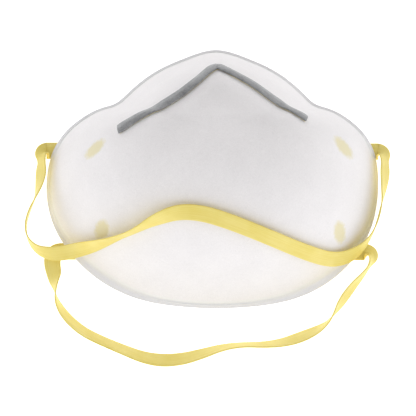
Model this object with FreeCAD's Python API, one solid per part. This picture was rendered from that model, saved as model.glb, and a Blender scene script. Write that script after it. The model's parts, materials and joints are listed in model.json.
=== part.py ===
"""Disposable cup respirator with two elastic headbands, lying on its rim with the dome up.

Units are millimetres. X runs across the face, Y from the chin (-) to the nose (+), Z away from
the face. The origin is under the middle of the cup, on the surface that the rim rests on.
"""
import FreeCAD, Part
import math
import os

Vector = FreeCAD.Vector

# ---- cup ----
CROWN_HEIGHT = 50.0
CROWN_X = 1.0
CROWN_Y = 12.0
MIDLINE_SHIFT = 1.4
MIDLINE_SHIFT_Y = -8.0
MIDLINE_SHIFT_SPAN = 28.0
NOSE_RIM_LIFT = 8.0
CHIN_RIM_LIFT = 4.0
REST_Y_MAX = -2.0
REST_Y_MIN = -12.0
RIM_LIFT_POWER = 1.2
SIDE_FULLNESS = 2.9
NOSE_FULLNESS = 3.3
CHIN_FULLNESS = 2.7
RIDGE_HEIGHT = 2.2
RIDGE_HALF_WIDTH = 9.0
RIDGE_Y = 40.0
RIDGE_LENGTH = 16.0
RIDGE_FADE_POWER = 6

# Right half of the rim seen from above, from the nose round to the chin.
HALF_RIM = [
    (0.0, 51.8), (12.0, 48.8), (23.7, 43.6), (31.5, 38.2), (36.6, 33.6), (40.2, 30.6), (46.0, 28.6),
    (54.4, 24.2), (61.8, 17.2), (66.0, 8.4), (67.3, -3.0), (65.0, -17.4), (58.5, -29.6),
    (46.6, -41.4), (32.0, -48.8), (15.5, -52.0), (0.0, -52.8),
]

# ---- cup layers, from the outside in ----
LAYER_GAP = 0.1
LAYERS = [
    ("outer_cover_web", 0.35),
    ("shaping_shell", 1.1),
    ("filter_web", 0.6),
    ("inner_cover_web", 0.35),
]
EDGE_PRESSING = 0.55
EDGE_PRESSING_POWER = 8
FLANGE_WIDTH = 2.8
RIM_EDGE_THICKNESS = 1.2
RIM_EDGE_INNER_WIDTH = 1.6
RIM_EDGE_PRESS = 0.2
RIM_EDGE_CHAMFER = 0.3
RIM_BORDER_HEIGHT = 0.84
RIM_EDGE_INNER_HEIGHT = 0.4

# ---- nose parts: routes seen from above, from the wearer's right cheek to the left ----
NOSE_CLIP_WIDTH = 4.8
NOSE_CLIP_THICKNESS = 0.9
NOSE_CLIP_ADHESIVE = 0.2
NOSE_CLIP_LIFT = 0.15
NOSE_CLIP_ROUTE = [(-36.9, 13.9), (-29.0, 18.4), (-21.0, 22.4), (-13.0, 27.0), (-6.4, 32.4),
                   (-2.0, 36.6), (0.8, 38.6), (3.8, 37.4), (13.8, 32.0), (21.7, 26.6),
                   (29.6, 22.2), (35.7, 18.4)]
NOSE_FOAM_WIDTH = 10.0
NOSE_FOAM_THICKNESS = 3.2
NOSE_FOAM_ADHESIVE = 0.2
NOSE_FOAM_ROUTE = [(-30.5, 19.0), (-21.0, 24.2), (-10.5, 30.4), (1.2, 34.4),
                   (12.5, 30.4), (22.0, 24.2), (31.0, 19.0)]
ADHESIVE_WIDTH_SHARE = 0.8
STRIP_STATIONS = 33
STRIP_ACROSS = 5

# ---- headbands ----
BAND_WIDTH = 6.8
BAND_THICKNESS = 0.6
FLOOR_GAP = 0.15
BAND_END_GAP = 0.55
BAND_END_DROP = 3.2
EXIT_GAP = 0.7
WELD_WIDTH = 4.0
WELD_THICKNESS = 0.2
PART_GAP = 0.1
UPPER_EXIT_X = 67.3
UPPER_EXIT_Y = 11.5
LOWER_EXIT_X = 61.5
LOWER_EXIT_Y = -29.5
EXIT_Z = FLOOR_GAP + BAND_THICKNESS / 2

# The upper band goes from the left exit round the cheek, over the front of the cup and back to
# the right exit. Each point is x, y, z and the lean of the band's width from level, in degrees.
UPPER_BAND_ROUTE = [
    (-67.3, 11.5, 0.45, 0), (-69.3, 11.0, 2.2, 18), (-69.1, 7.2, 3.6, 60), (-69.2, 2.6, 3.4, 55),
    (-69.8, -2.6, 3.7, 66), (-71.3, -8.0, 3.9, 84), (-73.8, -13.2, 3.9, 90), (-75.4, -19.0, 3.9, 90),
    (-74.6, -24.6, 4.1, 88), (-71.0, -29.2, 5.0, 70), (-65.4, -31.2, 6.4, 44), (-59.6, -30.9, 7.6, 32),
    (-53.4, -29.8, 10.2, 30), (-46.4, -28.8, 17.4, 29), (-38.4, -27.2, 27.0, 28), (-30.4, -25.2, 34.8, 26),
    (-22.4, -21.3, 41.1, 25), (-13.8, -18.6, 45.0, 28), (-4.8, -19.2, 45.6, 30), (4.6, -21.9, 44.0, 32),
    (13.6, -25.0, 41.2, 34), (22.6, -28.1, 36.6, 35), (31.2, -30.9, 30.0, 34), (39.6, -33.0, 21.6, 33),
    (46.6, -34.0, 14.0, 34), (52.6, -33.0, 9.4, 42), (57.4, -30.6, 7.4, 56), (61.2, -27.2, 6.9, 74),
    (64.4, -22.6, 5.4, 86), (66.8, -16.6, 4.4, 90), (68.4, -9.8, 3.9, 88), (69.4, -3.0, 3.7, 72),
    (69.9, 3.0, 3.5, 56), (69.8, 7.6, 3.4, 55), (69.5, 11.0, 2.1, 18), (67.3, 11.5, 0.45, 0),
]

# The lower band lies on the surface all the way, so its height follows from its lean.
LOWER_BAND_ROUTE = [
    (-61.5, -29.5, 0), (-64.2, -30.0, 4), (-64.7, -34.4, 8), (-63.6, -39.0, 26), (-63.2, -43.8, 74),
    (-62.8, -48.8, 98), (-60.6, -53.4, 116), (-56.8, -58.0, 122), (-51.0, -62.6, 125),
    (-43.2, -66.2, 125), (-35.2, -69.5, 128), (-27.9, -72.3, 135), (-20.3, -73.6, 142),
    (-12.2, -73.0, 138), (-4.0, -70.8, 128), (3.8, -68.3, 115), (11.8, -67.2, 108),
    (19.8, -67.3, 112), (27.8, -66.5, 122), (35.0, -64.3, 132), (41.3, -61.6, 122),
    (45.9, -58.6, 100), (48.5, -55.2, 86), (51.0, -51.2, 66), (53.8, -47.2, 60),
    (57.0, -43.0, 66), (60.3, -39.4, 74), (62.8, -36.0, 78), (64.4, -32.8, 40),
    (63.9, -29.9, 8), (61.5, -29.5, 0),
]

# Each band end: where it is welded, seen from above, then the corner where it turns under the rim.
BAND_ENDS = {
    "upper_left": ([(-43.6, 8.6), (-50.0, 9.4), (-53.6, 10.2)], (-56.2, 11.5)),
    "upper_right": ([(45.6, 9.2), (51.6, 9.8), (55.0, 10.4)], (57.6, 11.5)),
    "lower_left": ([(-40.4, -23.4), (-43.6, -25.4), (-45.8, -27.4)], (-47.4, -29.5)),
    "lower_right": ([(42.4, -23.4), (45.0, -25.4), (47.2, -27.4)], (48.8, -29.5)),
}
WELDS = {
    "upper_left": [(-49.8, 6.2), (-46.2, 8.6), (-42.6, 11.2)],
    "upper_right": [(47.6, 12.4), (51.4, 9.6), (55.2, 6.6)],
    "lower_left": [(-43.6, -20.8), (-42.8, -24.6), (-42.0, -28.4)],
    "lower_right": [(45.4, -21.0), (44.8, -24.8), (44.0, -28.6)],
}

# ---- surface sampling ----
AROUND = 96
RINGS = 16
RING_SPACING_POWER = 0.8
NORMAL_STEP = 0.02
SURFACE_DEGREE = 3
CLEAR_OF_PART = 200.0
ARC_STEP = math.radians(20.0)
ARC_SHARE = 0.45

def smooth_closed_curve(points):
    curve = Part.BSplineCurve()
    curve.interpolate(Points=points, PeriodicFlag=True)
    return curve


def midline_shift(y):
    """The moulded cup is a little crooked: its nose and chin sit to the right of its cheeks."""
    return MIDLINE_SHIFT * (1 - math.exp(-((y - MIDLINE_SHIFT_Y) / MIDLINE_SHIFT_SPAN) ** 2))


def rim_points():
    """Points evenly spaced round the rim, seen from above."""
    right = [Vector(x + midline_shift(y), y, 0) for x, y in HALF_RIM]
    left = [Vector(-x + midline_shift(y), y, 0) for x, y in reversed(HALF_RIM[1:-1])]
    edge = smooth_closed_curve(right + left).toShape()
    return edge.discretize(Number=AROUND + 1)[:-1]


def inset(points, distance):
    """Move each point of a closed plan curve towards its inside."""
    moved = []
    for i, point in enumerate(points):
        along = points[(i + 1) % len(points)] - points[i - 1]
        inward = Vector(along.y, -along.x, 0).normalize()
        if inward.dot(CROWN_PLAN - point) < 0:
            inward = -inward
        moved.append(point + inward * distance)
    return moved


def rim_height(y):
    """Height of the underside of the rim: flat along the cheeks, raised at the nose and the chin."""
    nose_y = HALF_RIM[0][1]
    chin_y = HALF_RIM[-1][1]
    if y > REST_Y_MAX:
        return NOSE_RIM_LIFT * ((y - REST_Y_MAX) / (nose_y - REST_Y_MAX)) ** RIM_LIFT_POWER
    if y < REST_Y_MIN:
        return CHIN_RIM_LIFT * ((REST_Y_MIN - y) / (REST_Y_MIN - chin_y)) ** RIM_LIFT_POWER
    return 0.0


CROWN_PLAN = Vector(CROWN_X, CROWN_Y, 0)
RIM = rim_points()
CUP_EDGE = inset(RIM, FLANGE_WIDTH)


def cup_point(around, up):
    """Point of the cup's outside. around counts rim points, up runs from 0 (crown) to 1 (edge)."""
    low = int(math.floor(around)) % AROUND
    part = around - math.floor(around)
    edge = CUP_EDGE[low] * (1 - part) + CUP_EDGE[(low + 1) % AROUND] * part
    plan = CROWN_PLAN + (edge - CROWN_PLAN) * up
    outward = (edge - CROWN_PLAN).normalize()
    towards_nose = max(outward.y, 0.0) ** 2
    towards_chin = max(-outward.y, 0.0) ** 2
    fullness = (SIDE_FULLNESS + (NOSE_FULLNESS - SIDE_FULLNESS) * towards_nose
                + (CHIN_FULLNESS - SIDE_FULLNESS) * towards_chin)
    base = rim_height(edge.y) + RIM_EDGE_THICKNESS + PART_GAP
    height = base + (CROWN_HEIGHT - base) * (1 - up ** fullness)
    from_ridge = ((plan.x - CROWN_X) / RIDGE_HALF_WIDTH) ** 2 + ((plan.y - RIDGE_Y) / RIDGE_LENGTH) ** 2
    ridge = RIDGE_HEIGHT * math.exp(-from_ridge) * (1 - up ** RIDGE_FADE_POWER)
    return Vector(plan.x, plan.y, height + ridge)


def cup_normal(around, up):
    """Outward normal of the cup's outside."""
    if up < NORMAL_STEP:
        return Vector(0, 0, 1)
    across = cup_point(around + 0.5, up) - cup_point(around - 0.5, up)
    down = cup_point(around, up) - cup_point(around, up - NORMAL_STEP)
    normal = across.cross(down).normalize()
    outward = cup_point(around, 1) - cup_point(around, 0)
    return normal if normal.dot(Vector(outward.x, outward.y, CROWN_HEIGHT)) > 0 else -normal


def cup_address(x, y):
    """The around and up values of the cup's surface at a place seen from above."""
    away = Vector(x, y, 0) - CROWN_PLAN
    for i in range(AROUND):
        start = CUP_EDGE[i] - CROWN_PLAN
        span = CUP_EDGE[(i + 1) % AROUND] - CUP_EDGE[i]
        scale = away.x * span.y - away.y * span.x
        if scale == 0:
            continue
        reach = (start.x * span.y - start.y * span.x) / scale
        part = (start.x * away.y - start.y * away.x) / scale
        if reach > 0 and 0 <= part < 1:
            return i + part, 1 / reach
    return 0.0, 0.0


def on_cup(x, y, lift):
    """Point above (or, with a negative lift, below) the cup's outside at a place seen from above."""
    around, up = cup_address(x, y)
    return cup_point(around, up) + cup_normal(around, up) * lift


def cup_rows(thickness_above, gaps_above):
    """Rings of points below the cup's outside, under the pressed thickness of what is above."""
    rows = []
    for ring in range(RINGS + 1):
        up = (ring / RINGS) ** RING_SPACING_POWER
        depth = gaps_above + thickness_above * (1 - EDGE_PRESSING * up ** EDGE_PRESSING_POWER)
        rows.append([cup_point(i, up) - cup_normal(i, up) * depth for i in range(AROUND)])
    return rows


def clamped_knots(count, degree):
    spans = count - degree
    return list(range(spans + 1)), [degree + 1] + [1] * (spans - 1) + [degree + 1]


def ring_face(rows, degree):
    """Smooth face through closed rings of poles."""
    knots, mults = clamped_knots(len(rows), degree)
    surface = Part.BSplineSurface()
    surface.buildFromPolesMultsKnots(rows, mults, [1] * (AROUND + 1), knots,
                                     list(range(AROUND + 1)), False, True, degree, SURFACE_DEGREE)
    return surface.toShape()


def patch_face(rows):
    """Smooth face on an open grid of poles; two rows or columns give straight rulings."""
    degree_u = min(SURFACE_DEGREE, len(rows) - 1)
    degree_v = min(SURFACE_DEGREE, len(rows[0]) - 1)
    knots_u, mults_u = clamped_knots(len(rows), degree_u)
    knots_v, mults_v = clamped_knots(len(rows[0]), degree_v)
    surface = Part.BSplineSurface()
    surface.buildFromPolesMultsKnots(rows, mults_u, mults_v, knots_u, knots_v,
                                     False, False, degree_u, degree_v)
    return surface.toShape()


def solid_from_faces(faces):
    shell = Part.Compound(faces)
    shell.sewShape()
    solid = Part.makeSolid(shell.Shells[0])
    if solid.Volume < 0:
        solid.reverse()
    return solid


def cup_layer(index):
    """One moulded layer of the cup."""
    above = sum(thickness for name, thickness in LAYERS[:index])
    gaps = index * LAYER_GAP
    outside = cup_rows(above, gaps)
    inside = cup_rows(above + LAYERS[index][1], gaps)
    return solid_from_faces([ring_face(outside, SURFACE_DEGREE), ring_face(inside, SURFACE_DEGREE),
                             ring_face([outside[-1], inside[-1]], 1)])


def rim_edge():
    """The fused edge: a ring under the layers, pressed flat where it bears on the surface."""
    inner = FLANGE_WIDTH + RIM_EDGE_INNER_WIDTH
    section = [
        (inner, -RIM_EDGE_PRESS), (RIM_EDGE_CHAMFER, -RIM_EDGE_PRESS), (0.0, RIM_EDGE_CHAMFER),
        (RIM_EDGE_CHAMFER, RIM_BORDER_HEIGHT), (FLANGE_WIDTH, RIM_EDGE_THICKNESS),
        (inner, RIM_EDGE_INNER_HEIGHT),
    ]
    rings = []
    for distance, height in section:
        ring = inset(RIM, distance) if distance else RIM
        rings.append([Vector(p.x, p.y, rim_height(p.y) + height) for p in ring])
    faces = [ring_face([rings[i - 1], rings[i]], 1) for i in range(len(rings))]
    above_surface = Part.makeBox(2 * CLEAR_OF_PART, 2 * CLEAR_OF_PART, CLEAR_OF_PART,
                                 Vector(-CLEAR_OF_PART, -CLEAR_OF_PART, 0))
    return solid_from_faces(faces).common(above_surface).Solids[0]


def slab(top, bottom):
    """Solid between two matching grids of points."""
    def side(pick):
        return patch_face([pick(top), pick(bottom)])
    return solid_from_faces([
        patch_face(top), patch_face(bottom),
        side(lambda g: g[0]), side(lambda g: g[-1]),
        side(lambda g: [row[0] for row in g]), side(lambda g: [row[-1] for row in g]),
    ])


def strip_on_cup(route, width, low, high):
    """Strip of constant width that follows the cup, between two lifts above its outside."""
    curve = Part.BSplineCurve()
    curve.interpolate([Vector(x, y, 0) for x, y in route])
    stations = curve.toShape().discretize(Number=STRIP_STATIONS)
    top = []
    bottom = []
    for i, station in enumerate(stations):
        before = stations[max(i - 1, 0)]
        after = stations[min(i + 1, STRIP_STATIONS - 1)]
        along = on_cup(after.x, after.y, 0) - on_cup(before.x, before.y, 0)
        normal = cup_normal(*cup_address(station.x, station.y))
        across = normal.cross(along).normalize()
        middle = on_cup(station.x, station.y, 0)
        offsets = [width * (j / (STRIP_ACROSS - 1) - 0.5) for j in range(STRIP_ACROSS)]
        places = [middle + across * offset for offset in offsets]
        top.append([on_cup(p.x, p.y, high) for p in places])
        bottom.append([on_cup(p.x, p.y, low) for p in places])
    return slab(top, bottom)


def rounded_path(points):
    """Straight runs joined by tangent arcs: a list of (point, direction, place along the route)."""
    path = [(points[0], (points[1] - points[0]).normalize(), 0.0)]
    radii = []
    for i in range(1, len(points) - 1):
        run_in = points[i] - points[i - 1]
        run_out = points[i + 1] - points[i]
        reach = ARC_SHARE * min(run_in.Length, run_out.Length)
        turn = run_in.getAngle(run_out)
        radii.append(reach / math.tan(turn / 2))
        start = points[i] - run_in.normalize() * reach
        end = points[i] + run_out.normalize() * reach
        axis = run_in.cross(run_out).normalize()
        centre = start + axis.cross(run_in) * radii[-1]
        steps = max(2, int(math.ceil(turn / ARC_STEP)))
        place_in = reach / (points[i] - points[i - 1]).Length
        place_out = reach / (points[i + 1] - points[i]).Length
        for step in range(steps + 1):
            share = step / steps
            turned = FreeCAD.Rotation(axis, math.degrees(turn * share))
            place = i - place_in * (1 - share) + place_out * share
            path.append((centre + turned.multVec(start - centre), turned.multVec(run_in), place))
    path.append((points[-1], (points[-1] - points[-2]).normalize(), len(points) - 1.0))
    return path, radii


def leaning_side(direction, lean):
    """Direction of the band's width: level to the left of travel, turned up by the lean."""
    level = Vector(0, 0, 1).cross(direction).normalize()
    upward = direction.cross(level)
    angle = math.radians(lean)
    return level * math.cos(angle) + upward * math.sin(angle)


def square_ends(path):
    """The same path with its first and last cross-sections turned square to the X axis."""
    for i in (0, -1):
        point, direction, place = path[i]
        path[i] = (point, Vector(math.copysign(1, direction.x), 0, 0), place)
    return path


def band_solid(name, points, side_at, cut_square=False):
    """Flat band along a path. side_at(direction, place) gives the direction of its width."""
    path, radii = rounded_path(points)
    if cut_square:
        path = square_ends(path)
    sections = []
    length = 0.0
    for i, (point, direction, place) in enumerate(path):
        side = side_at(direction, place) * (BAND_WIDTH / 2)
        face = side.cross(direction).normalize() * (BAND_THICKNESS / 2)
        sections.append([point + side + face, point + side - face,
                         point - side - face, point - side + face])
        if i:
            length += (point - path[i - 1][0]).Length
    faces = [Part.Face(Part.makePolygon(s + s[:1])) for s in (sections[0], sections[-1])]
    for before, after in zip(sections, sections[1:]):
        for j in range(4):
            k = (j + 1) % 4
            for corners in ([before[j], before[k], after[k]], [before[j], after[k], after[j]]):
                faces.append(Part.Face(Part.makePolygon(corners + corners[:1])))
    solid = solid_from_faces(faces)
    expected = length * BAND_WIDTH * BAND_THICKNESS
    print("%s: length %.1f, smallest radius %.1f, volume over section times length %.3f"
          % (name, length, min(radii), solid.Volume / expected))
    return solid


def between(values, place):
    """Straight-line value between the entries of a list at a fractional place."""
    low = min(int(place), len(values) - 2)
    return values[low] + (values[low + 1] - values[low]) * (place - low)


def resting_height(lean):
    """Height of a band's middle where its lower edge lies on the surface."""
    angle = math.radians(lean)
    return (FLOOR_GAP + BAND_WIDTH / 2 * abs(math.sin(angle))
            + BAND_THICKNESS / 2 * abs(math.cos(angle)))


def headband(name, route):
    """Headband from exit to exit, cut square there to the axis on which it swings."""
    points = [Vector(x, y, z) for x, y, z, lean in route]
    leans = [lean for x, y, z, lean in route]

    def side_at(direction, place):
        return leaning_side(direction, between(leans, place))
    return band_solid(name, points, side_at, cut_square=True)


def band_end(name, inside, corner, exit_point):
    """End of a headband: from its weld down the inside of the cup and out under the rim."""
    depth = sum(t for n, t in LAYERS) + LAYER_GAP * (len(LAYERS) - 1) + BAND_END_GAP
    points = [on_cup(x, y, -depth - BAND_THICKNESS / 2) for x, y in inside]
    points.append(Vector(corner[0], corner[1], EXIT_Z + BAND_END_DROP))
    points += [Vector(corner[0], corner[1], EXIT_Z), exit_point]
    towards_nose = Vector(0, 1, 0)
    sides = []
    for i, (x, y) in enumerate(inside):
        along = points[i + 1] - points[max(i - 1, 0)]
        side = cup_normal(*cup_address(x, y)).cross(along).normalize()
        sides.append(side if side.dot(towards_nose) > 0 else -side)
    sides += [towards_nose] * 3

    def side_at(direction, place):
        side = between(sides, place)
        return (side - direction * side.dot(direction)).normalize()
    return band_solid(name, points, side_at)


def export(name, shape):
    shape.exportStep("parts/" + name + ".step")
    print("%-26s volume %9.1f  valid %s" % (name, shape.Volume, shape.isValid()))


def main():
    os.makedirs("parts", exist_ok=True)
    for index, (name, thickness) in enumerate(LAYERS):
        export(name, cup_layer(index))
    export("rim_edge", rim_edge())

    clip_low = NOSE_CLIP_LIFT + NOSE_CLIP_ADHESIVE
    export("nose_clip_adhesive", strip_on_cup(NOSE_CLIP_ROUTE, NOSE_CLIP_WIDTH * ADHESIVE_WIDTH_SHARE,
                                              NOSE_CLIP_LIFT, clip_low))
    clip_low += PART_GAP
    export("nose_clip", strip_on_cup(NOSE_CLIP_ROUTE, NOSE_CLIP_WIDTH,
                                     clip_low, clip_low + NOSE_CLIP_THICKNESS))

    cup_depth = sum(t for n, t in LAYERS) + LAYER_GAP * (len(LAYERS) - 1)
    weld_top = -cup_depth - (BAND_END_GAP - WELD_THICKNESS) + PART_GAP
    foam_top = weld_top
    export("nose_foam_adhesive", strip_on_cup(NOSE_FOAM_ROUTE, NOSE_FOAM_WIDTH * ADHESIVE_WIDTH_SHARE,
                                              foam_top - NOSE_FOAM_ADHESIVE, foam_top))
    foam_top -= NOSE_FOAM_ADHESIVE + PART_GAP
    export("nose_foam", strip_on_cup(NOSE_FOAM_ROUTE, NOSE_FOAM_WIDTH,
                                     foam_top - NOSE_FOAM_THICKNESS, foam_top))

    export("upper_headband", headband("upper_headband", UPPER_BAND_ROUTE))
    lower = [(x, y, resting_height(lean), lean) for x, y, lean in LOWER_BAND_ROUTE]
    export("lower_headband", headband("lower_headband", lower))

    for place, (inside, corner) in BAND_ENDS.items():
        exit_x, exit_y = ((UPPER_EXIT_X, UPPER_EXIT_Y) if "upper" in place
                          else (LOWER_EXIT_X, LOWER_EXIT_Y))
        exit_point = Vector(math.copysign(exit_x - EXIT_GAP, corner[0]), exit_y, EXIT_Z)
        name = place + "_band_end"
        export(name, band_end(name, inside, corner, exit_point))
        export(place + "_weld", strip_on_cup(WELDS[place], WELD_WIDTH,
                                             weld_top - WELD_THICKNESS, weld_top))


main()
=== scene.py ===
"""Looks of a disposable cup respirator with two flat elastic headbands, lying on its rim."""
import json
import math

import bmesh
import bpy
import numpy as np
from mathutils import Matrix, Vector


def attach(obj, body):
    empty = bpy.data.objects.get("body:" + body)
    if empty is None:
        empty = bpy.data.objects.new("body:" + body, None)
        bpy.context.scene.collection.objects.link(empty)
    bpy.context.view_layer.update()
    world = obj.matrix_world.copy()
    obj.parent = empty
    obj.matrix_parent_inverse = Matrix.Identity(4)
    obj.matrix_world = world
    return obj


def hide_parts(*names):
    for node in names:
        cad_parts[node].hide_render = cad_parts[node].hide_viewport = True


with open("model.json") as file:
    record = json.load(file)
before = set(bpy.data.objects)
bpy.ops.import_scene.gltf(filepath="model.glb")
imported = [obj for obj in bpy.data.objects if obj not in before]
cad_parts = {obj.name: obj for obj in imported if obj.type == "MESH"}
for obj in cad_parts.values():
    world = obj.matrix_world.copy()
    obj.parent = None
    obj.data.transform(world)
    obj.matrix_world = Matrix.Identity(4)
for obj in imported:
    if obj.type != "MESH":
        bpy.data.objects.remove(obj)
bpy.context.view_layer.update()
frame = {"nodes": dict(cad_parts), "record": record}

MM = 0.001

# ---- camera ----
IMAGE_SIZE = 416
METRES_PER_PIXEL = 0.405 * MM
CAMERA_DISTANCE = 0.85
CAMERA_TILT = math.radians(7.0)
CAMERA_YAW = math.radians(1.0)
CAMERA_TARGET = Vector((-1.8, -11.7, 0.0)) * MM
SENSOR_WIDTH = 36.0

# ---- light: the sky's brightness from the chin side and from behind the nose, the floor's own ----
FRONT_GLOW = 0.65
BACK_GLOW = 0.47
FLOOR_GLOW = 0.95
# Soft lights: name, place, diameter, power. Each one faces the origin.
SOFT_LIGHTS = [("left_soft", (-0.9, -0.3, 0.7), 1.4, 2.6), ("right_soft", (0.9, -0.3, 0.7), 1.4, 2.8),
               ("front_soft", (0.0, -1.0, 0.8), 1.6, 1.5)]
FLOOR_HALF_SIZE = 3.0

# ---- headbands: the routes' points in metres, then the lean of the width from level in degrees ----
BAND_WIDTH = 6.8 * MM
BAND_THICKNESS = 0.6 * MM
FLOOR_GAP = 0.15 * MM
# The band's section: how far its middle is sunk, as a share of half the thickness, and how flat that
# hollow is; then the corner of its rounded sides, in thicknesses from the side and from the middle.
BAND_HOLLOW = 0.10
BAND_HOLLOW_POWER = 4
BAND_CORNER_IN = 0.15
BAND_CORNER_UP = 0.35
UPPER_LENGTH = 0.252
LOWER_LENGTH = 0.179
UPPER_BAND_ROUTE = [
    (-.0673, .0115, .00045, 0), (-.0693, .0110, .0022, 34), (-.0691, .0072, .0036, 66),
    (-.0692, .0026, .0034, 46), (-.0698, -.0026, .0037, 60), (-.0713, -.0080, .0039, 84),
    (-.0738, -.0132, .0039, 90), (-.0754, -.0190, .0039, 90), (-.0746, -.0246, .0041, 88),
    (-.0710, -.0292, .0050, 70), (-.0654, -.0312, .0064, 44), (-.0596, -.0309, .0076, 32),
    (-.0534, -.0298, .0102, 30), (-.0464, -.0288, .0174, 29), (-.0384, -.0272, .0270, 28),
    (-.0304, -.0252, .0348, 26), (-.0224, -.0213, .0411, 25), (-.0138, -.0186, .0450, 28),
    (-.0048, -.0192, .0456, 30), (.0046, -.0219, .0440, 32), (.0136, -.0250, .0412, 34),
    (.0226, -.0281, .0366, 35), (.0312, -.0309, .0300, 34), (.0396, -.0330, .0216, 33),
    (.0466, -.0340, .0140, 34), (.0526, -.0330, .0094, 42), (.0574, -.0306, .0074, 56),
    (.0612, -.0272, .0069, 74), (.0644, -.0226, .0054, 86), (.0668, -.0166, .0044, 90),
    (.0684, -.0098, .0039, 88), (.0694, -.0030, .0037, 64), (.0699, .0030, .0035, 50),
    (.0698, .0076, .0034, 62), (.0695, .0110, .0021, 32), (.0673, .0115, .00045, 0),
]
# Extra lean at some points of the upper route, in degrees, where the band stands up on its lower edge.
UPPER_CURLS = {12: 6, 13: 30, 14: 58, 15: 58, 16: 28, 17: 6}
# The lower band lies on the surface, so its height follows from its lean.
LOWER_BAND_ROUTE = [
    (-.0615, -.0295, 0), (-.0642, -.0300, 4), (-.0647, -.0344, 8), (-.0636, -.0390, 26),
    (-.0632, -.0438, 74), (-.0628, -.0488, 98), (-.0606, -.0534, 116), (-.0568, -.0580, 122),
    (-.0510, -.0626, 125), (-.0432, -.0662, 125), (-.0352, -.0695, 128), (-.0279, -.0723, 135),
    (-.0203, -.0736, 142), (-.0122, -.0730, 138), (-.0040, -.0708, 128), (.0038, -.0683, 115),
    (.0118, -.0672, 108), (.0198, -.0673, 112), (.0278, -.0665, 122), (.0350, -.0643, 132),
    (.0413, -.0616, 122), (.0459, -.0586, 100), (.0485, -.0552, 86), (.0510, -.0512, 66),
    (.0538, -.0472, 60), (.0570, -.0430, 66), (.0603, -.0394, 76), (.0628, -.0360, 84),
    (.0644, -.0328, 66), (.0639, -.0299, 20), (.0615, -.0295, 0),
]

# ---- cup: the same surface as the moulded cup of the frame ----
CROWN = Vector((1.0, 12.0)) * MM
CROWN_HEIGHT = 50.0 * MM
NOSE_RIM_LIFT = 8.0 * MM
CHIN_RIM_LIFT = 4.0 * MM
REST_Y_MAX = -2.0 * MM
REST_Y_MIN = -12.0 * MM
RIM_LIFT_POWER = 1.2
SIDE_FULLNESS = 2.9
NOSE_FULLNESS = 3.3
CHIN_FULLNESS = 2.7
RIDGE_HEIGHT = 2.2 * MM
RIDGE_HALF_WIDTH = 9.0 * MM
RIDGE_Y = 40.0 * MM
RIDGE_LENGTH = 16.0 * MM
RIDGE_FADE_POWER = 6
MIDLINE_SHIFT = 1.4 * MM
MIDLINE_SHIFT_Y = -8.0 * MM
MIDLINE_SHIFT_SPAN = 28.0 * MM
HALF_RIM = [
    (.0, .0518), (.0120, .0488), (.0237, .0436), (.0315, .0382), (.0366, .0336), (.0402, .0306),
    (.0460, .0286), (.0544, .0242), (.0618, .0172), (.0660, .0084), (.0673, -.0030),
    (.0650, -.0174), (.0585, -.0296), (.0466, -.0414), (.0320, -.0488), (.0155, -.0520),
    (.0, -.0528),
]
FLANGE_WIDTH = 2.8 * MM
NARROW_FLANGE = 1.0 * MM
CORNER_X = 47.0 * MM
CORNER_Y = -18.0 * MM
CORNER_SPAN = 21.0 * MM
CORNER_FADE = 5.0 * MM
FLARE_POWER = 8
RIM_EDGE_THICKNESS = 1.2 * MM
LAYER_GAP = 0.1 * MM
SKIN_THICKNESS = 0.3 * MM
EDGE_PRESSING = 0.55
EDGE_PRESSING_POWER = 8
LINING_ABOVE = 2.05 * MM
LINING_GAPS = 0.3 * MM
AROUND = 320
RINGS = 110
RING_SPACING_POWER = 0.85
# The outer web's last ring before its roll, and how many rings before that show the pressed web.
LAST_RING_UP = 0.994
PRESSED_RINGS = 3
NORMAL_STEP = 0.01
CURVE_STEPS = 40
# Where the outer web leaves the cup and rolls out over the rim: distance in from the rim, height.
SKIN_ROLL = [(3.02, 1.92), (2.78, 1.56), (2.45, 1.32), (2.05, 1.17), (1.6, 1.08), (1.1, 1.02),
             (0.65, 0.97), (0.38, 0.9)]
RIM_SECTION = [(4.4, 0.0), (2.2, 0.0), (0.45, 0.0), (0.14, 0.08), (0.0, 0.3), (0.06, 0.5), (0.3, 0.64),
               (0.9, 0.68), (2.8, 0.7), (4.4, 0.35)]
# Weld marks seen from above: centre x and y, half length, half width, turn in degrees.
WELD_MARKS = [
    (-46.6, 7.9, 5.6, 2.6, 40.0), (51.4, 9.6, 5.9, 3.0, -46.0),
    (-44.0, -23.2, 4.2, 3.4, 78.0), (50.2, -23.4, 4.7, 3.1, -84.0),
]
WELD_DEPTH = 0.22 * MM
WELD_COLOUR = (234, 224, 176)
WELD_OPACITY = 0.8
# A faint dent across the cup below the clip: left end, right end, y, half width.
DENT = (-6.5, 20.0, 18.2, 1.6)
DENT_DEPTH = 0.16 * MM

# ---- nose parts ----
CLIP_ROUTE = [(-36.9, 13.9), (-29.0, 18.4), (-21.0, 22.4), (-13.0, 27.0), (-6.4, 32.4), (-2.0, 36.6),
              (0.8, 38.6), (3.8, 37.4), (13.8, 32.0), (21.7, 26.6), (29.6, 22.2), (35.7, 18.4)]
# Sections across the cup: distance from the middle line, lift above the cup's outside.
CLIP_SECTION = [(-2.4, 0.6), (-2.4, 0.95), (-2.28, 1.1), (-2.0, 1.16), (-0.4, 1.4), (0.0, 1.42), (0.4, 1.4),
                (2.0, 1.16), (2.28, 1.1), (2.4, 0.95), (2.4, 0.6), (2.2, 0.47), (-2.2, 0.47)]
CLIP_STATIONS = 120
STRIP_STEPS = 20
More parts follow.
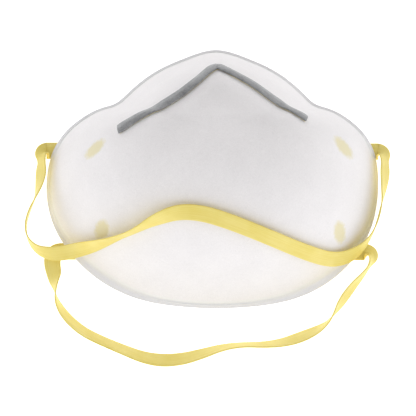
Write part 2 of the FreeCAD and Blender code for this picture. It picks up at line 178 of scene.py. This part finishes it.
# Width of the strips' first stations from each end, as a share of the full width.
STRIP_TIPS = (0.86, 0.95, 0.99)
FOAM_ROUTE = [(-30.5, 19.0), (-21.0, 24.2), (-10.5, 30.4), (1.2, 34.4), (12.5, 30.4), (22.0, 24.2),
              (31.0, 19.0)]
FOAM_SECTION = [(-4.7, -3.27), (-4.95, -3.5), (-5.0, -4.6), (-4.9, -5.6), (-4.5, -6.1), (-3.6, -6.35),
                (-1.8, -6.42), (0.0, -6.43), (1.8, -6.42), (3.6, -6.35), (4.5, -6.1), (4.9, -5.6),
                (5.0, -4.6), (4.95, -3.5), (4.7, -3.27), (2.4, -3.27), (0.0, -3.27), (-2.4, -3.27)]
FOAM_STATIONS = 90

# ---- band ends inside the cup: welded places from above, then the corner, then the exit ----
BAND_END_DEPTH = -3.55 * MM
BAND_END_DROP = 3.2 * MM
BAND_ENDS = {
    "upper_left": ([(-43.6, 8.6), (-50.0, 9.4), (-53.6, 10.2)], (-56.2, 11.5), (-67.3, 11.5)),
    "upper_right": ([(45.6, 9.2), (51.6, 9.8), (55.0, 10.4)], (57.6, 11.5), (67.3, 11.5)),
    "lower_left": ([(-40.4, -23.4), (-43.6, -25.4), (-45.8, -27.4)], (-47.4, -29.5), (-61.5, -29.5)),
    "lower_right": ([(42.4, -23.4), (45.0, -25.4), (47.2, -27.4)], (48.8, -29.5), (61.5, -29.5)),
}


# ---------------------------------------------------------------- small tools

def srgb(red, green, blue):
    """Linear colour from the 0 to 255 values of a display."""
    def linear(value):
        value /= 255.0
        return value / 12.92 if value <= 0.04045 else ((value + 0.055) / 1.055) ** 2.4
    return (linear(red), linear(green), linear(blue), 1.0)


def new_mesh(name, points, faces, smooth=True):
    mesh = bpy.data.meshes.new(name)
    mesh.from_pydata([tuple(p) for p in points], [], faces)
    mesh.validate()
    tidy = bmesh.new()
    tidy.from_mesh(mesh)
    bmesh.ops.recalc_face_normals(tidy, faces=tidy.faces)
    tidy.to_mesh(mesh)
    tidy.free()
    for polygon in mesh.polygons:
        polygon.use_smooth = smooth
    obj = bpy.data.objects.new(name, mesh)
    bpy.context.scene.collection.objects.link(obj)
    return obj


def grid_faces(rows, columns, closed_rows=False, closed_columns=False):
    """Quads of a grid whose point (row, column) has the index row * columns + column."""
    faces = []
    for i in range(rows if closed_rows else rows - 1):
        for j in range(columns if closed_columns else columns - 1):
            k = (j + 1) % columns
            below = (i + 1) % rows
            faces.append((i * columns + j, i * columns + k, below * columns + k, below * columns + j))
    return faces


# ---------------------------------------------------------------- camera

def make_camera():
    away = Vector((-math.tan(CAMERA_YAW), -math.tan(CAMERA_TILT), 1.0)).normalized()
    right = Vector((0, 1, 0)).cross(away).normalized()
    up = away.cross(right)
    data = bpy.data.cameras.new("camera")
    data.sensor_width = SENSOR_WIDTH
    data.lens = SENSOR_WIDTH * CAMERA_DISTANCE / (METRES_PER_PIXEL * IMAGE_SIZE)
    data.clip_start = 0.01
    data.clip_end = 20.0
    camera = bpy.data.objects.new("camera", data)
    turn = Matrix((right, up, away)).transposed().to_4x4()
    camera.matrix_world = Matrix.Translation(CAMERA_TARGET + away * CAMERA_DISTANCE) @ turn
    bpy.context.scene.collection.objects.link(camera)
    bpy.context.scene.camera = camera


# ---------------------------------------------------------------- headbands

def spline_line(points, resolution=12):
    """Points read from the smooth NURBS line that has these control points."""
    data = bpy.data.curves.new("line", "CURVE")
    data.dimensions = "3D"
    data.resolution_u = resolution
    spline = data.splines.new("NURBS")
    spline.points.add(len(points) - 1)
    for slot, point in zip(spline.points, points):
        slot.co = (*point, 1.0)
    spline.order_u = 3
    spline.use_endpoint_u = True
    holder = bpy.data.objects.new("line", data)
    mesh = bpy.data.meshes.new_from_object(holder)
    line = [v.co.copy() for v in mesh.vertices]
    bpy.data.objects.remove(holder)
    bpy.data.curves.remove(data)
    bpy.data.meshes.remove(mesh)
    return line


def band_section(width, thickness, across=9):
    """Outline of the band's section: flat faces with a shallow rib along each edge, round sides."""
    half = width / 2
    face = []
    for i in range(across):
        share = i / (across - 1) * 2 - 1
        rise = thickness / 2 * (1 - BAND_HOLLOW * (1 - abs(share) ** BAND_HOLLOW_POWER))
        face.append((share * (half - thickness / 2), rise))
    corner_x = half - thickness * BAND_CORNER_IN
    corner_y = thickness * BAND_CORNER_UP
    right = [(corner_x, corner_y), (half, 0.0), (corner_x, -corner_y)]
    under = [(x, -y) for x, y in reversed(face)]
    left = [(-x, -y) for x, y in right]
    return face + right + under + left


def resting_height(lean):
    angle = math.radians(lean)
    return (FLOOR_GAP + BAND_WIDTH / 2 * abs(math.sin(angle))
            + BAND_THICKNESS / 2 * abs(math.cos(angle)))


def ribbon(name, line, side_at):
    """Flat band along a line of points. side_at(i, along) gives the direction of its width.

    Where it starts or stops at an exit, its end is square to the X axis on which the band swings.
    """
    section = band_section(BAND_WIDTH, BAND_THICKNESS)
    count = len(section)
    points = []
    travelled = [0.0]
    for i, point in enumerate(line):
        along = (line[min(i + 1, len(line) - 1)] - line[max(i - 1, 0)]).normalized()
        if i in (0, len(line) - 1) and point.z < BAND_THICKNESS:
            along = Vector((math.copysign(1, along.x), 0, 0))
        side = side_at(i, along)
        face = side.cross(along).normalized()
        points += [point + side * x + face * y for x, y in section]
        if i:
            travelled.append(travelled[-1] + (point - line[i - 1]).length)
    faces = grid_faces(len(line), count, closed_columns=True)
    faces += [tuple(range(count)), tuple(range(len(points) - count, len(points)))]
    band = new_mesh(name, points, faces)
    layer = band.data.uv_layers.new(name="UVMap")
    for loop in band.data.loops:
        row, place = divmod(loop.vertex_index, count)
        layer.data[loop.index].uv = (travelled[row], section[place][0])
    return band


def make_band(name, route, curls):
    """Headband along its route's smooth line. Its width leans as the route says.

    curls gives the extra lean at some route points. The band stays on its lower edge there.
    """
    line = spline_line([p[:3] for p in route])
    turns = spline_line([(math.radians(p[3]), math.radians(curls.get(i, 0)), 0)
                         for i, p in enumerate(route)])
    lifted = [point + Vector((0, 0, BAND_WIDTH / 2 * (math.sin(turn.x + turn.y) - math.sin(turn.x))))
              for point, turn in zip(line, turns)]

    def side_at(i, along):
        level = Vector((0, 0, 1)).cross(along).normalized()
        lean = turns[i].x + turns[i].y
        return level * math.cos(lean) + along.cross(level) * math.sin(lean)
    return ribbon(name, lifted, side_at), line


def make_headbands(material):
    lower_route = [(x, y, resting_height(lean), lean) for x, y, lean in LOWER_BAND_ROUTE]
    for name, body, route, length, curls in (
            ("upper_headband", "upper_band", UPPER_BAND_ROUTE, UPPER_LENGTH, UPPER_CURLS),
            ("lower_headband", "lower_band", lower_route, LOWER_LENGTH, {})):
        band, line = make_band(name + "_strip", route, curls)
        band.data.materials.append(material)
        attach(band, body)
        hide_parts(name)


# ---------------------------------------------------------------- cup

def closed_spline(points, count):
    """count points, evenly spaced, on the smooth closed curve through the points."""
    total = len(points)
    ends = points[1:] + points[:1]
    spans = [(b - a).length for a, b in zip(points, ends)]
    matrix = np.zeros((total, total))
    right = np.zeros((total, 2))
    for i in range(total):
        before, after = spans[i - 1], spans[i]
        matrix[i, i - 1] += 1 / before
        matrix[i, i] += 2 / before + 2 / after
        matrix[i, (i + 1) % total] += 1 / after
        right[i] = 3 * ((points[i] - points[i - 1]) / before ** 2 + (ends[i] - points[i]) / after ** 2)
    slopes = [Vector(row) for row in np.linalg.solve(matrix, right)]
    fine = []
    for i in range(total):
        for step in range(CURVE_STEPS):
            t = step / CURVE_STEPS
            fine.append(points[i] * (2 * t ** 3 - 3 * t ** 2 + 1) + ends[i] * (3 * t ** 2 - 2 * t ** 3)
                        + slopes[i] * (t ** 3 - 2 * t ** 2 + t) * spans[i]
                        + slopes[(i + 1) % total] * (t ** 3 - t ** 2) * spans[i])
    fine.append(fine[0])
    return even_points(fine, count + 1)[:-1]


def even_points(line, count):
    """count points evenly spaced along a line of points, both ends included."""
    lengths = [0.0]
    for a, b in zip(line, line[1:]):
        lengths.append(lengths[-1] + (b - a).length)
    result = []
    j = 0
    for i in range(count):
        wanted = lengths[-1] * i / (count - 1)
        while j < len(line) - 2 and lengths[j + 1] < wanted:
            j += 1
        share = (wanted - lengths[j]) / (lengths[j + 1] - lengths[j])
        result.append(line[j].lerp(line[j + 1], min(share, 1.0)))
    return result


def midline_shift(y):
    return MIDLINE_SHIFT * (1 - math.exp(-((y - MIDLINE_SHIFT_Y) / MIDLINE_SHIFT_SPAN) ** 2))


def rim_outline():
    right = [Vector((x + midline_shift(y), y)) for x, y in HALF_RIM]
    left = [Vector((-x + midline_shift(y), y)) for x, y in reversed(HALF_RIM[1:-1])]
    return closed_spline(right + left, AROUND)


def inset(points, distances):
    """Move each point of the clockwise plan outline towards its inside by its own distance."""
    moved = []
    for i, (point, distance) in enumerate(zip(points, distances)):
        along = points[(i + 1) % len(points)] - points[i - 1]
        moved.append(point + Vector((along.y, -along.x)).normalized() * distance)
    return moved


def rim_height(y):
    nose_y = HALF_RIM[0][1]
    chin_y = HALF_RIM[-1][1]
    if y > REST_Y_MAX:
        return NOSE_RIM_LIFT * ((y - REST_Y_MAX) / (nose_y - REST_Y_MAX)) ** RIM_LIFT_POWER
    if y < REST_Y_MIN:
        return CHIN_RIM_LIFT * ((REST_Y_MIN - y) / (REST_Y_MIN - chin_y)) ** RIM_LIFT_POWER
    return 0.0


RIM = rim_outline()
CUP_EDGE = inset(RIM, [FLANGE_WIDTH] * AROUND)


def cup_point(around, up):
    """Point of the cup's outside. around counts rim points, up runs from 0 (crown) to 1 (edge)."""
    low = int(math.floor(around)) % AROUND
    edge = CUP_EDGE[low].lerp(CUP_EDGE[(low + 1) % AROUND], around - math.floor(around))
    plan = CROWN.lerp(edge, up)
    outward = (edge - CROWN).normalized()
    towards_nose = max(outward.y, 0.0) ** 2
    towards_chin = max(-outward.y, 0.0) ** 2
    fullness = (SIDE_FULLNESS + (NOSE_FULLNESS - SIDE_FULLNESS) * towards_nose
                + (CHIN_FULLNESS - SIDE_FULLNESS) * towards_chin)
    base = rim_height(edge.y) + RIM_EDGE_THICKNESS + LAYER_GAP
    height = base + (CROWN_HEIGHT - base) * (1 - up ** fullness)
    from_ridge = ((plan.x - CROWN.x) / RIDGE_HALF_WIDTH) ** 2 + ((plan.y - RIDGE_Y) / RIDGE_LENGTH) ** 2
    ridge = RIDGE_HEIGHT * math.exp(-from_ridge) * (1 - up ** RIDGE_FADE_POWER)
    return Vector((plan.x, plan.y, height + ridge))


def cup_normal(around, up):
    if up < NORMAL_STEP:
        return Vector((0, 0, 1))
    across = cup_point(around + 0.5, up) - cup_point(around - 0.5, up)
    down = cup_point(around, up) - cup_point(around, up - NORMAL_STEP)
    normal = across.cross(down).normalized()
    outward = cup_point(around, 1) - cup_point(around, 0)
    return normal if normal.dot(Vector((outward.x, outward.y, CROWN_HEIGHT))) > 0 else -normal


def cup_address(x, y):
    """The around and up values of the cup's surface at a place seen from above."""
    away = Vector((x, y)) - CROWN
    for i in range(AROUND):
        start = CUP_EDGE[i] - CROWN
        span = CUP_EDGE[(i + 1) % AROUND] - CUP_EDGE[i]
        scale = away.x * span.y - away.y * span.x
        if scale == 0:
            continue
        reach = (start.x * span.y - start.y * span.x) / scale
        part = (start.x * away.y - start.y * away.x) / scale
        if reach > 0 and 0 <= part < 1:
            return i + part, 1 / reach
    return 0.0, 0.0


def on_cup(x, y, lift):
    around, up = cup_address(x, y)
    return cup_point(around, up) + cup_normal(around, up) * lift


def dressed(piece, material, body, node):
    piece.data.materials.append(material)
    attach(piece, body)
    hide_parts(node)
    return piece


def surface_sink(point):
    """Depth of the weld marks and of the dent at a point of the cup's outside."""
    sink = 0.0
    for x, y, half_length, half_width, turn in WELD_MARKS:
        away = Vector((point.x / MM - x, point.y / MM - y))
        away.rotate(Matrix.Rotation(-math.radians(turn), 2))
        reach = (away.x / half_length) ** 2 + (away.y / half_width) ** 2
        sink += WELD_DEPTH * math.exp(-reach ** 2)
    left, right, y, half_width = DENT
    span = 1 / (1 + math.exp(-(point.x / MM - left) / 2)) / (1 + math.exp((point.x / MM - right) / 2))
    return sink + DENT_DEPTH * span * math.exp(-((point.y / MM - y) / half_width) ** 2)


def grid_normals(rows):
    """Outward unit normals of a grid of rings, each ring closed."""
    grid = np.array([[tuple(p) for p in row] for row in rows])
    across = np.roll(grid, -1, axis=1) - np.roll(grid, 1, axis=1)
    down = np.gradient(grid, axis=0)
    normals = np.cross(down, across)
    normals /= np.linalg.norm(normals, axis=2, keepdims=True)
    if normals[0, 0, 2] < 0:
        normals = -normals
    return [[Vector(n) for n in row] for row in normals]


def web_mesh(name, rows, crown, thickness):
    """Closed thin web: rings of points from the crown outwards, and the same rings pushed inwards."""
    normals = grid_normals(rows)
    count = len(rows)
    outside = [point for row in rows for point in row]
    inside = [p - n * thickness for row, line in zip(rows, normals) for p, n in zip(row, line)]
    points = outside + inside + [crown, crown - Vector((0, 0, thickness))]
    shift = len(outside)
    faces = grid_faces(count, AROUND, closed_columns=True)
    faces += [tuple(k + shift for k in reversed(face)) for face in faces]
    last = (count - 1) * AROUND
    for i in range(AROUND):
        k = (i + 1) % AROUND
        faces.append((shift * 2, k, i))
        faces.append((shift * 2 + 1, i + shift, k + shift))
        faces.append((last + i, last + k, last + k + shift, last + i + shift))
    return new_mesh(name, points, faces)


def flange_width(place):
    """Width of the flat border: broad at the two lower corners and narrow everywhere else."""
    from_corner = (abs(place.x) - CORNER_X) / CORNER_SPAN
    low_down = 1 / (1 + math.exp((place.y - CORNER_Y) / CORNER_FADE))
    return NARROW_FLANGE + (FLANGE_WIDTH - NARROW_FLANGE) * math.exp(-from_corner ** 2) * low_down


def make_cup_skin(materials):
    """Outer web: over the cup, then rolled out over the rim."""
    widths = [flange_width(place) for place in RIM]
    outward = [near - far for near, far in zip(inset(RIM, widths), CUP_EDGE)]
    rows = []
    for ring in range(1, RINGS + 1):
        up = LAST_RING_UP * (ring / RINGS) ** RING_SPACING_POWER
        flare = up ** FLARE_POWER
        rows.append([cup_point(i, up) + (outward[i] * flare).to_3d() for i in range(AROUND)])
    rows = [[p - n * surface_sink(p) for p, n in zip(row, line)]
            for row, line in zip(rows, grid_normals(rows))]
    for distance, height in SKIN_ROLL:
        start = SKIN_ROLL[-1][0] * MM
        share = (distance * MM - start) / (FLANGE_WIDTH - start)
        places = inset(RIM, [start + (width - start) * share for width in widths])
        rows.append([Vector((p.x, p.y, rim_height(p.y) + height * MM)) for p in places])
    skin = web_mesh("cup_skin", rows, cup_point(0, 0), SKIN_THICKNESS)
    dressed(skin, materials[0], "respirator", "outer_cover_web")
    for material in materials[1:]:
        skin.data.materials.append(material)
    rolled = {}
    for ring in range(RINGS - PRESSED_RINGS, len(rows)):
        rolled[ring] = 1 if ring < RINGS + 1 else 2
    for polygon in skin.data.polygons:
        ring = min(polygon.vertices) // AROUND
        polygon.material_index = rolled.get(ring, 0)


def make_lining(material):
    """Inner web, under the pressed thickness of the layers above it."""
    rows = []
    for ring in range(1, RINGS + 1):
        up = (ring / RINGS) ** RING_SPACING_POWER
        depth = LINING_GAPS + LINING_ABOVE * (1 - EDGE_PRESSING * up ** EDGE_PRESSING_POWER)
        rows.append([cup_point(i, up) - cup_normal(i, up) * depth for i in range(AROUND)])
    crown = cup_point(0, 0) - Vector((0, 0, LINING_GAPS + LINING_ABOVE))
    lining = web_mesh("cup_lining", rows, crown, SKIN_THICKNESS)
    dressed(lining, material, "respirator", "inner_cover_web")


def make_rim(material):
    """Fused and trimmed edge of the layers, under the roll of the outer web."""
    points = []
    for distance, height in RIM_SECTION:
        places = inset(RIM, [distance * MM] * AROUND)
        points += [Vector((p.x, p.y, rim_height(p.y) + height * MM)) for p in places]
    faces = grid_faces(len(RIM_SECTION), AROUND, closed_rows=True, closed_columns=True)
    dressed(new_mesh("rim_border", points, faces), material, "respirator", "rim_edge")


# ---------------------------------------------------------------- nose clip, foam and band ends

def smooth_route(route, count):
    """count points, evenly spaced, on a smooth open line through the points, in metres."""
    points = [Vector(p) * MM for p in route]
    points = [points[0] * 2 - points[1]] + points + [points[-1] * 2 - points[-2]]
    fine = []
    for a, b, c, d in zip(points, points[1:], points[2:], points[3:]):
        for step in range(STRIP_STEPS):
            t = step / STRIP_STEPS
            fine.append(b + (c - a) * (t / 2) + (a * 2 - b * 5 + c * 4 - d) * (t * t / 2)
                        + (b * 3 - a - c * 3 + d) * (t ** 3 / 2))
    fine.append(points[-2])
    return even_points(fine, count)


def strip_on_cup(name, route, section, stations):
    """Strip along a route seen from above, whose section follows the cup. Its ends are rounded off."""
    line = smooth_route(route, stations)
    points = []
    for i, place in enumerate(line):
        after = line[min(i + 1, stations - 1)]
        before = line[max(i - 1, 0)]
        along = on_cup(after.x, after.y, 0) - on_cup(before.x, before.y, 0)
        across = cup_normal(*cup_address(place.x, place.y)).cross(along).normalized()
        middle = on_cup(place.x, place.y, 0)
        from_end = min(i, stations - 1 - i)
        shrink = STRIP_TIPS[from_end] if from_end < len(STRIP_TIPS) else 1.0
        for offset, lift in section:
            spot = middle + across * (offset * MM * shrink)
            points.append(on_cup(spot.x, spot.y, lift * MM))
    count = len(section)
    faces = grid_faces(stations, count, closed_columns=True)
    faces += [tuple(range(count)), tuple(range(len(points) - count, len(points)))]
    return new_mesh(name, points, faces)


def make_band_ends(material):
    """Each band end runs from its weld down the inside of the cup and out under the rim."""
    exit_z = FLOOR_GAP + BAND_THICKNESS / 2
    for place, (welded, corner, leaving) in BAND_ENDS.items():
        points = [on_cup(x * MM, y * MM, BAND_END_DEPTH) for x, y in welded]
        points.append(Vector((corner[0] * MM, corner[1] * MM, exit_z + BAND_END_DROP)))
        points += [Vector((x * MM, y * MM, exit_z)) for x, y in (corner, leaving)]
        sides = []
        for i, (x, y) in enumerate(welded):
            along = points[i + 1] - points[max(i - 1, 0)]
            side = cup_normal(*cup_address(x * MM, y * MM)).cross(along).normalized()
            sides.append(side if side.y > 0 else -side)
        sides += [Vector((0, 1, 0))] * 3
        side_line = spline_line(sides)

        def side_at(i, along):
            return (side_line[i] - along * side_line[i].dot(along)).normalized()
        node = place + "_band_end"
        dressed(ribbon(node + "_strip", spline_line(points), side_at), material, "respirator", node)


# ---------------------------------------------------------------- materials

class Shading:
    """A procedural material: a Principled shader and short ways to add nodes before it."""

    def __init__(self, name, roughness):
        self.material = bpy.data.materials.new(name)
        self.material.use_nodes = True
        self.tree = self.material.node_tree
        self.shader = self.tree.nodes["Principled BSDF"]
        self.shader.inputs["Roughness"].default_value = roughness
        self.place = self.tree.nodes.new("ShaderNodeTexCoord")

    def link(self, output, target):
        self.tree.links.new(output, target)

    def scaled(self, scale, source="Object", location=(0, 0, 0), turn=0.0):
        """Coordinates moved, turned about Z and scaled. scale counts features in a metre."""
        mapping = self.tree.nodes.new("ShaderNodeMapping")
        mapping.vector_type = "TEXTURE" if location != (0, 0, 0) else "POINT"
        mapping.inputs["Location"].default_value = location
        mapping.inputs["Rotation"].default_value = (0, 0, turn)
        mapping.inputs["Scale"].default_value = scale
        self.link(self.place.outputs[source], mapping.inputs["Vector"])
        return mapping.outputs["Vector"]

    def noise(self, scale, detail=3.0, distortion=0.0, source="Object"):
        node = self.tree.nodes.new("ShaderNodeTexNoise")
        node.inputs["Scale"].default_value = 1.0
        node.inputs["Detail"].default_value = detail
        node.inputs["Distortion"].default_value = distortion
        self.link(self.scaled(scale, source), node.inputs["Vector"])
        return node.outputs["Fac"]

    def cells(self, scale):
        node = self.tree.nodes.new("ShaderNodeTexVoronoi")
        node.feature = "DISTANCE_TO_EDGE"
        node.inputs["Scale"].default_value = 1.0
        self.link(self.scaled(scale), node.inputs["Vector"])
        return node.outputs["Distance"]

    def ramp(self, factor, low, high, low_colour, high_colour):
        node = self.tree.nodes.new("ShaderNodeValToRGB")
        node.color_ramp.elements[0].position = low
        node.color_ramp.elements[1].position = high
        node.color_ramp.elements[0].color = low_colour
        node.color_ramp.elements[1].color = high_colour
        self.link(factor, node.inputs["Fac"])
        return node.outputs["Color"]

    def mix(self, factor, first, second):
        node = self.tree.nodes.new("ShaderNodeMix")
        node.data_type = "RGBA"
        self.link(factor, node.inputs["Factor"])
        for value, target in ((first, node.inputs["A"]), (second, node.inputs["B"])):
            if isinstance(value, tuple):
                target.default_value = value
            else:
                self.link(value, target)
        return node.outputs["Result"]

    def math(self, operation, first, second):
        node = self.tree.nodes.new("ShaderNodeMath")
        node.operation = operation
        for value, target in zip((first, second), node.inputs):
            if isinstance(value, (int, float)):
                target.default_value = value
            else:
                self.link(value, target)
        return node.outputs["Value"]

    def colour(self, value):
        self.link(value, self.shader.inputs["Base Color"])

    def bump(self, heights, distance, strength=1.0):
        """Bumps from several heights, one on top of the other."""
        previous = None
        for height in heights:
            node = self.tree.nodes.new("ShaderNodeBump")
            node.inputs["Strength"].default_value = strength
            node.inputs["Distance"].default_value = distance
            self.link(height, node.inputs["Height"])
            if previous:
                self.link(previous, node.inputs["Normal"])
            previous = node.outputs["Normal"]
        self.link(previous, self.shader.inputs["Normal"])


def non_woven(name, dark, light, fibre=0.9, marks=()):
    """Pressed fibre web: fine tangled fibres, soft cloudiness and, if asked, weld marks."""
    s = Shading(name, 0.85)
    s.shader.inputs["Sheen Weight"].default_value = 0.12
    s.shader.inputs["Sheen Roughness"].default_value = 0.6
    fibres = s.noise((1 / (fibre * MM),) * 3, detail=5.0, distortion=2.2)
    clouds = s.noise((90, 90, 90), detail=2.0)
    shade = s.math("ADD", s.math("MULTIPLY", fibres, 0.75), s.math("MULTIPLY", clouds, 0.25))
    colour = s.ramp(shade, 0.3, 0.68, dark, light)
    for x, y, half_length, half_width, turn in marks:
        ellipse = s.tree.nodes.new("ShaderNodeVectorMath")
        ellipse.operation = "LENGTH"
        flat = s.tree.nodes.new("ShaderNodeVectorMath")
        flat.operation = "MULTIPLY"
        flat.inputs[1].default_value = (1, 1, 0)
        s.link(s.scaled((half_length * MM, half_width * MM, 1), location=(x * MM, y * MM, 0),
                        turn=math.radians(turn)), flat.inputs[0])
        s.link(flat.outputs["Vector"], ellipse.inputs[0])
        ragged = s.math("ADD", ellipse.outputs["Value"],
                        s.math("MULTIPLY", s.math("SUBTRACT", s.noise((700, 700, 700)), 0.5), 0.5))
        inside = s.ramp(ragged, 0.6, 1.3, (WELD_OPACITY,) * 3 + (1,), (0, 0, 0, 1))
        colour = s.mix(inside, colour, srgb(*WELD_COLOUR))
    s.colour(colour)
    s.bump([s.noise((160, 160, 160), detail=2.0), fibres], 0.06 * MM, 0.6)
    return s.material


def elastomer():
    """Thin flat rubber band with fine lengthwise streaks."""
    s = Shading("yellow_elastomer", 0.5)
    streaks = s.noise((60, 2600, 1), detail=3.0, source="UV")
    patches = s.noise((130, 130, 130), detail=2.0)
    shade = s.math("ADD", s.math("MULTIPLY", streaks, 0.5), s.math("MULTIPLY", patches, 0.5))
    body = s.ramp(shade, 0.36, 0.64, srgb(236, 216, 112), srgb(245, 228, 137))
    s.colour(body)
    s.shader.inputs["Specular IOR Level"].default_value = 0.35
    s.bump([streaks, s.noise((900, 900, 900))], 0.03 * MM, 0.6)
    return s.material


def brushed_clip():
    """Bare soft aluminium strip: dull, with fine grain along it and small handling marks."""
    s = Shading("dull_aluminium", 0.48)
    s.shader.inputs["Metallic"].default_value = 0.35
    grain = s.noise((900, 2400, 2400), detail=4.0)
    wear = s.noise((240, 240, 240), detail=3.0)
    s.colour(s.ramp(s.math("ADD", s.math("MULTIPLY", grain, 0.5), s.math("MULTIPLY", wear, 0.5)),
                    0.36, 0.66, srgb(122, 123, 125), srgb(164, 165, 167)))
    s.bump([grain, wear], 0.02 * MM, 0.5)
    return s.material


def open_foam():
    """Soft open-cell foam: small round cells."""
    s = Shading("open_foam", 0.95)
    cells = s.cells((1300, 1300, 1300))
    s.colour(s.ramp(cells, 0.0, 0.3, srgb(206, 206, 204), srgb(238, 238, 236)))
    s.bump([cells], 0.25 * MM, 0.7)
    return s.material


def hot_melt():
    """Thin glue film or melted spot, slightly yellow and uneven."""
    s = Shading("hot_melt", 0.4)
    blotches = s.noise((420, 420, 420), detail=3.0)
    s.colour(s.ramp(blotches, 0.35, 0.65, srgb(222, 208, 158), srgb(238, 228, 190)))
    s.bump([blotches], 0.05 * MM, 0.5)
    return s.material


# ---------------------------------------------------------------- floor and light

def make_stage():
    far = FLOOR_HALF_SIZE
    floor = new_mesh("floor", [(-far, -far, 0), (far, -far, 0), (far, far, 0), (-far, far, 0)],
                     [(0, 1, 2, 3)])
    paper = Shading("floor_white", 0.9)
    paper.colour(paper.ramp(paper.noise((40, 40, 40)), 0.3, 0.7, (0.9, 0.9, 0.9, 1),
                            (0.92, 0.92, 0.92, 1)))
    paper.shader.inputs["Emission Color"].default_value = (1, 1, 1, 1)
    paper.shader.inputs["Emission Strength"].default_value = FLOOR_GLOW
    floor.data.materials.append(paper.material)


def area_light(name, place, diameter, power):
    data = bpy.data.lights.new(name, "AREA")
    data.shape = "DISK"
    data.size = diameter
    data.energy = power
    light = bpy.data.objects.new(name, data)
    light.location = place
    light.rotation_euler = Vector(place).to_track_quat("Z", "Y").to_euler()
    bpy.context.scene.collection.objects.link(light)


def make_light():
    """Soft tent: the light is strongest from the chin side and weakest from behind the nose."""
    for name, place, diameter, power in SOFT_LIGHTS:
        area_light(name, place, diameter, power)
    world = bpy.data.worlds.new("studio")
    world.use_nodes = True
    tree = world.node_tree
    direction = tree.nodes.new("ShaderNodeTexCoord")
    parts = tree.nodes.new("ShaderNodeSeparateXYZ")
    tree.links.new(direction.outputs["Generated"], parts.inputs["Vector"])
    share = tree.nodes.new("ShaderNodeMapRange")
    share.inputs["From Min"].default_value = -1.0
    share.inputs["From Max"].default_value = 1.0
    share.inputs["To Min"].default_value = FRONT_GLOW
    share.inputs["To Max"].default_value = BACK_GLOW
    tree.links.new(parts.outputs["Y"], share.inputs["Value"])
    background = tree.nodes["Background"]
    background.inputs["Color"].default_value = (1, 1, 1, 1)
    tree.links.new(share.outputs["Result"], background.inputs["Strength"])
    bpy.context.scene.world = world
    bpy.context.scene.view_settings.view_transform = "Standard"


make_camera()
yellow = elastomer()
cover = non_woven("outer_web", srgb(238, 235, 236), srgb(250, 247, 248), marks=WELD_MARKS)
soft_web = non_woven("inner_web", srgb(236, 236, 234), srgb(250, 250, 248), fibre=0.7)
felt = non_woven("moulded_felt", srgb(230, 229, 226), srgb(244, 243, 240), fibre=1.4)
near_edge = non_woven("pressed_web", srgb(237, 236, 236), srgb(249, 248, 248), fibre=0.7)
edge = non_woven("fused_edge", srgb(235, 234, 236), srgb(247, 246, 248), fibre=0.5)
glue = hot_melt()

make_headbands(yellow)
make_band_ends(yellow)
make_cup_skin([cover, near_edge, edge])
make_lining(soft_web)
make_rim(edge)
clip = strip_on_cup("nose_strip", CLIP_ROUTE, CLIP_SECTION, CLIP_STATIONS)
dressed(clip, brushed_clip(), "respirator", "nose_clip")
foam = strip_on_cup("nose_cushion", FOAM_ROUTE, FOAM_SECTION, FOAM_STATIONS)
dressed(foam, open_foam(), "respirator", "nose_foam")

FINISHES = {"cover_web": cover, "shell_felt": felt, "filter_web": soft_web, "inner_web": soft_web,
            "rim_edge": edge, "adhesive": glue, "weld": glue}
for part in frame["record"]["subparts"]:
    finish = FINISHES.get(part["material_slot"])
    node = frame["nodes"].get(part["node"])
    if finish and node:
        for slot in node.material_slots:
            slot.material = finish
make_stage()
make_light()
